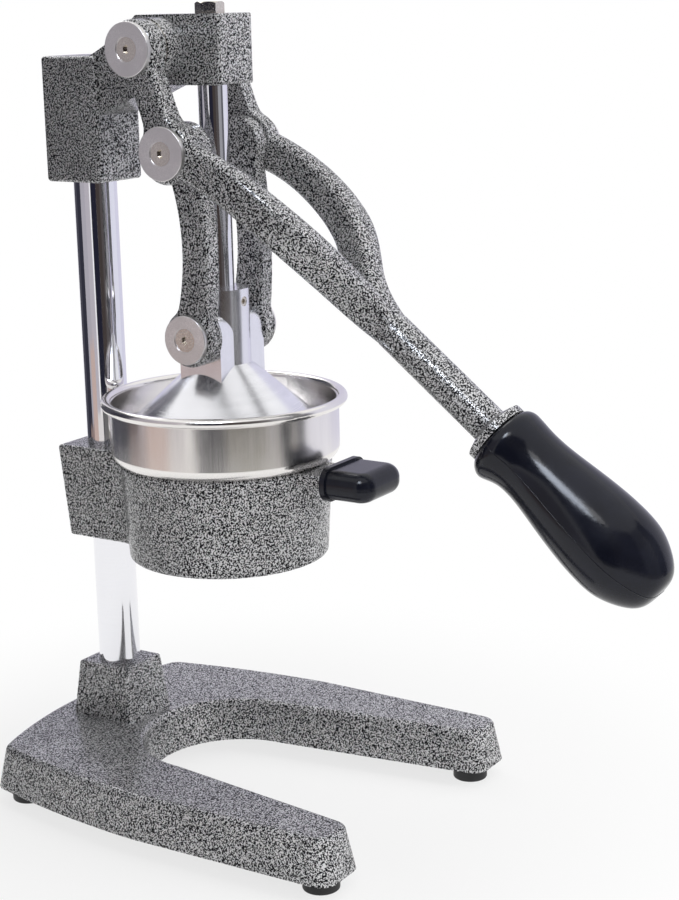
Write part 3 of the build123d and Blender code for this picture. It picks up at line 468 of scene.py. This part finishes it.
def turned_aluminium(colours):
    """Turned aluminium with rings about the press axis."""
    made, tree, shader, coords = new_material("Turned aluminium")
    rings = place_group(tree, "Turned rings", {"Vector": coords, "Pitch": ALUMINIUM_PITCH})
    brush = place_group(tree, "Brushed streaks", {"Vector": coords, "Stretch": ALUMINIUM_STREAKS})
    tone = math_node(tree, "MULTIPLY", rings["Band"], brush["Patch"])
    set_tone(tree, shader, tone, colours.aluminium, ALUMINIUM_DULL)
    rough = math_node(tree, "ADD", ramp(tree, rings["Groove"], 0.0, 1.0, *ALUMINIUM_GROOVE_ROUGHNESS),
                      ramp(tree, brush["Patch"], 0.0, 1.0, *ALUMINIUM_ROUGHNESS))
    tree.links.new(rough, shader.inputs["Roughness"])
    shader.inputs["Metallic"].default_value = 1.0
    set_bump(tree, shader, rings["Groove"], ALUMINIUM_RELIEF)
    return made


def steel(name, colour, roughness, grain, relief):
    """Plain steel with fine mottling and light scuffs."""
    made, tree, shader, coords = new_material(name)
    brush = place_group(tree, "Brushed streaks", {"Vector": coords, "Stretch": (1.0 / grain,) * 3})
    tone = math_node(tree, "MULTIPLY", brush["Streak"], brush["Patch"])
    set_tone(tree, shader, tone, colour, STEEL_DULL)
    tree.links.new(ramp(tree, brush["Streak"], 0.0, 1.0, *roughness), shader.inputs["Roughness"])
    shader.inputs["Metallic"].default_value = 1.0
    set_bump(tree, shader, brush["Streak"], relief)
    return made


def moulded_black(name, colour, roughness, gloss):
    """Black moulded plastic or rubber with a faint skin."""
    made, tree, shader, coords = new_material(name)
    brush = place_group(tree, "Brushed streaks", {"Vector": coords, "Stretch": BLACK_GRAIN})
    lifted = tuple(c * BLACK_LIFT for c in colour)
    skin = blend_colour(tree, brush["Patch"], rgba(colour), rgba(lifted))
    tree.links.new(skin, shader.inputs["Base Color"])
    tree.links.new(ramp(tree, brush["Patch"], 0.0, 1.0, *roughness), shader.inputs["Roughness"])
    shader.inputs["Specular IOR Level"].default_value = gloss
    set_bump(tree, shader, brush["Streak"], BLACK_RELIEF)
    return made


def coat_nodes(names, material):
    """Puts one material on CAD nodes."""
    for name in names:
        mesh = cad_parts[name].data
        mesh.materials.clear()
        mesh.materials.append(material)


def deselect_all():
    """Leaves edit mode, with nothing selected."""
    if bpy.context.object and bpy.context.object.mode != "OBJECT":
        bpy.ops.object.mode_set(mode="OBJECT")
    bpy.ops.object.select_all(action="DESELECT")


def copy_of(piece, name):
    """A copy of a piece as a new active object in edit mode."""
    deselect_all()
    made = bpy.data.objects.new(name, piece.data.copy())
    bpy.context.scene.collection.objects.link(made)
    made.select_set(True)
    bpy.context.view_layer.objects.active = made
    bpy.ops.object.mode_set(mode="EDIT")
    return made


def ring_centre(place, drop):
    """Middle of one ring of the lever's grip."""
    return GRIP_MOUTH + GRIP_ALONG * place - GRIP_UP * drop


def mould_grip(name):
    """The lever's grip, drawn out ring by ring from its mouth, with a bore for the tang."""
    deselect_all()
    place, radius, drop = GRIP_RINGS[0]
    mouth = ring_centre(place, drop)
    rim = radius - TANG_RADIUS
    turn = Vector((0, 0, 1)).rotation_difference(GRIP_ALONG).to_euler()
    bpy.ops.mesh.primitive_circle_add(
        vertices=GRIP_SIDES, radius=radius, fill_type="NGON", enter_editmode=True,
        location=mouth, rotation=turn)
    grip = bpy.context.object
    grip.name = name
    bpy.ops.mesh.select_all(action="SELECT")
    centre = mouth
    for place, wider, drop in GRIP_RINGS[1:]:
        moved = ring_centre(place, drop)
        bpy.ops.mesh.extrude_region_move(TRANSFORM_OT_translate={"value": moved - centre})
        bpy.ops.transform.resize(value=(wider / radius,) * 3, center_override=moved)
        centre, radius = moved, wider
    mesh = bmesh.from_edit_mesh(grip.data)
    near = TANG_RADIUS / 10
    for face in mesh.faces:
        face.select_set((grip.matrix_world @ face.calc_center_median() - mouth).length < near)
    bmesh.update_edit_mesh(grip.data)
    bpy.ops.mesh.inset(thickness=rim)
    bpy.ops.mesh.extrude_region_move(TRANSFORM_OT_translate={"value": TANG_ALONG * TANG_DEPTH})
    bpy.ops.mesh.select_all(action="SELECT")
    bpy.ops.mesh.normals_make_consistent(inside=False)
    bpy.ops.object.mode_set(mode="OBJECT")
    bpy.ops.object.transform_apply(location=True, rotation=True, scale=True)
    smooth = grip.modifiers.new("Smooth", "SUBSURF")
    smooth.levels = smooth.render_levels = GRIP_SMOOTHING
    bpy.ops.object.modifier_apply(modifier=smooth.name)
    bpy.ops.object.shade_smooth()
    return grip


def mould_line(grip, name, sizes):
    """The thin line that stands out along the lever's grip, cut from a copy of it."""
    seam = copy_of(grip, name)
    for side in (1, -1):
        bpy.ops.mesh.select_all(action="SELECT")
        bpy.ops.mesh.bisect(
            plane_co=GRIP_MOUTH + GRIP_UP * side * sizes.seam_width / 2, plane_no=GRIP_UP * side,
            clear_outer=True)
    bpy.ops.mesh.select_all(action="SELECT")
    bpy.ops.transform.shrink_fatten(value=sizes.seam_height)
    bpy.ops.object.mode_set(mode="OBJECT")
    wall = seam.modifiers.new("Wall", "SOLIDIFY")
    wall.thickness = 2 * sizes.seam_height
    wall.offset = -1
    bpy.ops.object.modifier_apply(modifier=wall.name)
    return seam


class PRESS_OT_castings(bpy.types.Operator):
    """Gives the castings their hammered paint"""

    bl_idname = "press.castings"
    bl_label = "Paint the castings"

    def execute(self, context):
        coat_nodes(PAINTED, hammered_paint(context.scene.press_sizes, context.scene.press_colours))
        return {"FINISHED"}


class PRESS_OT_bars(bpy.types.Operator):
    """Chromes the column and the guide rod"""

    bl_idname = "press.bars"
    bl_label = "Chrome the bars"

    def execute(self, context):
        coat_nodes(CHROMED, polished_chrome(context.scene.press_colours))
        return {"FINISHED"}


class PRESS_OT_bowl(bpy.types.Operator):
    """Gives the bowl, the funnel and the strainer their brushed stainless sheet"""

    bl_idname = "press.bowl"
    bl_label = "Finish the bowl, funnel and strainer"

    def execute(self, context):
        coat_nodes(SHEET, brushed_stainless(context.scene.press_colours))
        return {"FINISHED"}


class PRESS_OT_cone(bpy.types.Operator):
    """Gives the press cone its turned aluminium"""

    bl_idname = "press.cone"
    bl_label = "Finish the press cone"

    def execute(self, context):
        coat_nodes(TURNED, turned_aluminium(context.scene.press_colours))
        return {"FINISHED"}


class PRESS_OT_steel(bpy.types.Operator):
    """Gives the pivot discs satin steel and the screws, pins and washers bright steel"""

    bl_idname = "press.steel"
    bl_label = "Finish the discs and fasteners"

    def execute(self, context):
        sizes = context.scene.press_sizes
        colours = context.scene.press_colours
        satin = steel("Satin steel", colours.satin, SATIN_ROUGHNESS, sizes.satin_grain, SATIN_RELIEF)
        coat_nodes(DISCS, satin)
        done = set(PAINTED + CHROMED + SHEET + TURNED + FEET + MOULDED + DISCS)
        rest = [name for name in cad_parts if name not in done]
        bright = steel("Bright steel", colours.bright, BRIGHT_ROUGHNESS, sizes.bright_grain, BRIGHT_RELIEF)
        coat_nodes(rest, bright)
        return {"FINISHED"}


class PRESS_OT_grips(bpy.types.Operator):
    """Gives the tab black plastic, and moulds the lever's grip with its mould line"""

    bl_idname = "press.grips"
    bl_label = "Finish the grips"

    def execute(self, context):
        colour = context.scene.press_colours.plastic
        plastic = moulded_black("Black moulded plastic", colour, PLASTIC_ROUGHNESS, PLASTIC_GLOSS)
        coat_nodes(MOULDED, plastic)
        grip = mould_grip("lever_grip_moulding")
        seam = mould_line(grip, "lever_grip_seam", context.scene.press_sizes)
        for piece in (grip, seam):
            piece.data.materials.clear()
            piece.data.materials.append(plastic)
            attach(piece, "lever")
        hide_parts("lever_grip")
        return {"FINISHED"}


class PRESS_OT_feet(bpy.types.Operator):
    """Gives the feet black rubber"""

    bl_idname = "press.feet"
    bl_label = "Finish the feet"

    def execute(self, context):
        colour = context.scene.press_colours.rubber
        coat_nodes(FEET, moulded_black("Black rubber", colour, RUBBER_ROUGHNESS, RUBBER_GLOSS))
        return {"FINISHED"}


def background_rays(tree):
    """One for the rays that see the plain background, straight, in a mirror or through glass."""
    path = tree.nodes.new("ShaderNodeLightPath").outputs
    seen = math_node(tree, "ADD", path["Is Camera Ray"], path["Is Glossy Ray"])
    return math_node(tree, "ADD", seen, path["Is Transmission Ray"], clamp=True)


def add_glow(tree, colour):
    """A plain glow of one colour."""
    return add_node(tree, "ShaderNodeEmission", {"Color": rgba(colour), "Strength": 1.0}).outputs[0]


def studio_floor_material():
    """White floor that shows the object's shadow near it and plain white further out."""
    made, tree, shader, coords = new_material("Studio floor")
    tree.nodes.remove(shader)
    glow = add_glow(tree, WHITE)
    distance = add_node(tree, "ShaderNodeVectorMath", {0: coords}, operation="LENGTH").outputs["Value"]
    pale = blend_colour(tree, ramp(tree, distance, *FLOOR_SHADE_SPAN),
                        rgba(FLOOR_NEAR_SHADE), rgba(FLOOR_FAR_SHADE))
    diffuse = add_node(tree, "ShaderNodeBsdfDiffuse", {"Color": pale})
    share = ramp(tree, distance, *FLOOR_GLOW_SPAN, FLOOR_NEAR_GLOW, 1.0)
    far = math_node(tree, "MULTIPLY", share, background_rays(tree))
    both = add_node(tree, "ShaderNodeMixShader", {0: far, 1: diffuse.outputs[0], 2: glow})
    tree.links.new(both.outputs[0], tree.nodes["Material Output"].inputs["Surface"])
    return made


def add_floor():
    """The pale floor under the press."""
    deselect_all()
    bpy.ops.mesh.primitive_plane_add(size=FLOOR_SIDE)
    floor = bpy.context.object
    floor.name = "studio_floor"
    floor.data.materials.append(studio_floor_material())


def studio_world():
    """Soft even light, seen as plain white."""
    world = bpy.data.worlds.new("Studio")
    bpy.context.scene.world = world
    world.use_nodes = True
    tree = world.node_tree
    seen = math_node(tree, "MULTIPLY", background_rays(tree), 1.0 - WORLD_LIGHT)
    strength = math_node(tree, "ADD", seen, WORLD_LIGHT)
    background = tree.nodes["Background"]
    background.inputs["Color"].default_value = rgba(WHITE)
    tree.links.new(strength, background.inputs["Strength"])


def add_lamp(name, place, target, size, power, mirrored):
    """A rectangular soft lamp that faces a point, and that bright metal mirrors or not."""
    data = bpy.data.lights.new(name, "AREA")
    data.shape = "RECTANGLE"
    data.size, data.size_y = size
    data.energy = power
    lamp = bpy.data.objects.new(name, data)
    lamp.location = place
    lamp.rotation_euler = (Vector(target) - Vector(place)).to_track_quat("-Z", "Y").to_euler()
    lamp.visible_glossy = mirrored
    bpy.context.scene.collection.objects.link(lamp)


def add_card(name, hidden, start, end, reach, height, shade, level=0.0):
    """An upright card between two azimuths, hidden from some kinds of ray."""
    deselect_all()
    bpy.ops.mesh.primitive_plane_add(size=1.0)
    card = bpy.context.object
    card.name = name
    half = math.radians(end - start) / 2
    turn = Matrix.Rotation(math.radians(start + end) / 2, 4, "Z") @ Matrix.Rotation(math.pi / 2, 4, "X")
    size = Matrix.Diagonal((2 * reach * math.tan(half), height, 1.0, 1.0))
    card.data.transform(turn @ Matrix.Translation((0.0, level + height / 2, reach)) @ size)
    material = bpy.data.materials.new(name)
    material.use_nodes = True
    tree = material.node_tree
    tree.nodes.remove(tree.nodes["Principled BSDF"])
    tree.links.new(add_glow(tree, shade), tree.nodes["Material Output"].inputs["Surface"])
    card.data.materials.append(material)
    for kind in hidden:
        setattr(card, "visible_" + kind, False)


def camera_axes(azimuth, pitch, roll):
    """Right, up and back directions of a camera that looks down by the pitch."""
    level = math.cos(pitch)
    forward = Vector((-math.sin(azimuth) * level, math.cos(azimuth) * level, -math.sin(pitch)))
    flat_right = forward.cross(Vector((0, 0, 1))).normalized()
    flat_up = flat_right.cross(forward)
    right = flat_right * math.cos(roll) + flat_up * math.sin(roll)
    up = flat_up * math.cos(roll) - flat_right * math.sin(roll)
    return right, up, -forward


def add_camera(scene):
    """The camera at the viewing angle of the photograph."""
    data = bpy.data.cameras.new("camera")
    data.sensor_fit = "AUTO"
    data.sensor_width = SENSOR
    data.lens = FOCAL_LENGTH / FRAME_HEIGHT * SENSOR
    data.shift_x = (FRAME_WIDTH / 2 - CENTRE_ACROSS) / FRAME_HEIGHT
    data.shift_y = (CENTRE_DOWN - FRAME_HEIGHT / 2) / FRAME_HEIGHT
    data.clip_start = NEAR_CLIP
    camera = bpy.data.objects.new("camera", data)
    axes = camera_axes(
        math.radians(CAMERA_AZIMUTH), math.radians(CAMERA_PITCH), math.radians(CAMERA_ROLL))
    matrix = Matrix(axes).transposed().to_4x4()
    matrix.translation = Vector(CAMERA_PLACE)
    camera.matrix_world = matrix
    scene.collection.objects.link(camera)
    scene.camera = camera


class PRESS_OT_stage(bpy.types.Operator):
    """Sets the floor, the light, the cards and the camera"""

    bl_idname = "press.stage"
    bl_label = "Set the stage"

    def execute(self, context):
        add_floor()
        studio_world()
        for name, lamp in LAMPS.items():
            add_lamp(name, *lamp)
        add_card("studio_flag", HIDDEN_FLAG, *FLAG)
        for i, card in enumerate(CARDS):
            add_card("studio_card_%d" % i, HIDDEN_CARD, *card)
        add_camera(context.scene)
        context.scene.view_settings.view_transform = "Standard"
        return {"FINISHED"}


class PRESS_PT_panel(bpy.types.Panel):
    """Finishes, trim and stage of the citrus press"""

    bl_label = "Citrus press"
    bl_idname = "PRESS_PT_panel"
    bl_space_type = "VIEW_3D"
    bl_region_type = "UI"
    bl_category = "Citrus press"

    def draw(self, context):
        for group in (context.scene.press_sizes, context.scene.press_colours):
            for key in group.__annotations__:
                self.layout.prop(group, key)
        for operator in OPERATORS:
            self.layout.operator(operator.bl_idname)


OPERATORS = (
    PRESS_OT_castings,
    PRESS_OT_bars,
    PRESS_OT_bowl,
    PRESS_OT_cone,
    PRESS_OT_steel,
    PRESS_OT_grips,
    PRESS_OT_feet,
    PRESS_OT_stage,
)
CLASSES = (PressSizes, PressColours, *OPERATORS, PRESS_PT_panel)


def register():
    """Adds the classes and their settings."""
    for cls in CLASSES:
        bpy.utils.register_class(cls)
    bpy.types.Scene.press_sizes = bpy.props.PointerProperty(type=PressSizes)
    bpy.types.Scene.press_colours = bpy.props.PointerProperty(type=PressColours)


def unregister():
    """Removes the classes and their settings."""
    del bpy.types.Scene.press_colours
    del bpy.types.Scene.press_sizes
    for cls in reversed(CLASSES):
        bpy.utils.unregister_class(cls)


def main():
    """Dresses the press."""
    register()
    for operator in OPERATORS:
        family, action = operator.bl_idname.split(".")
        getattr(getattr(bpy.ops, family), action)()


if __name__ == "__main__":
    main()
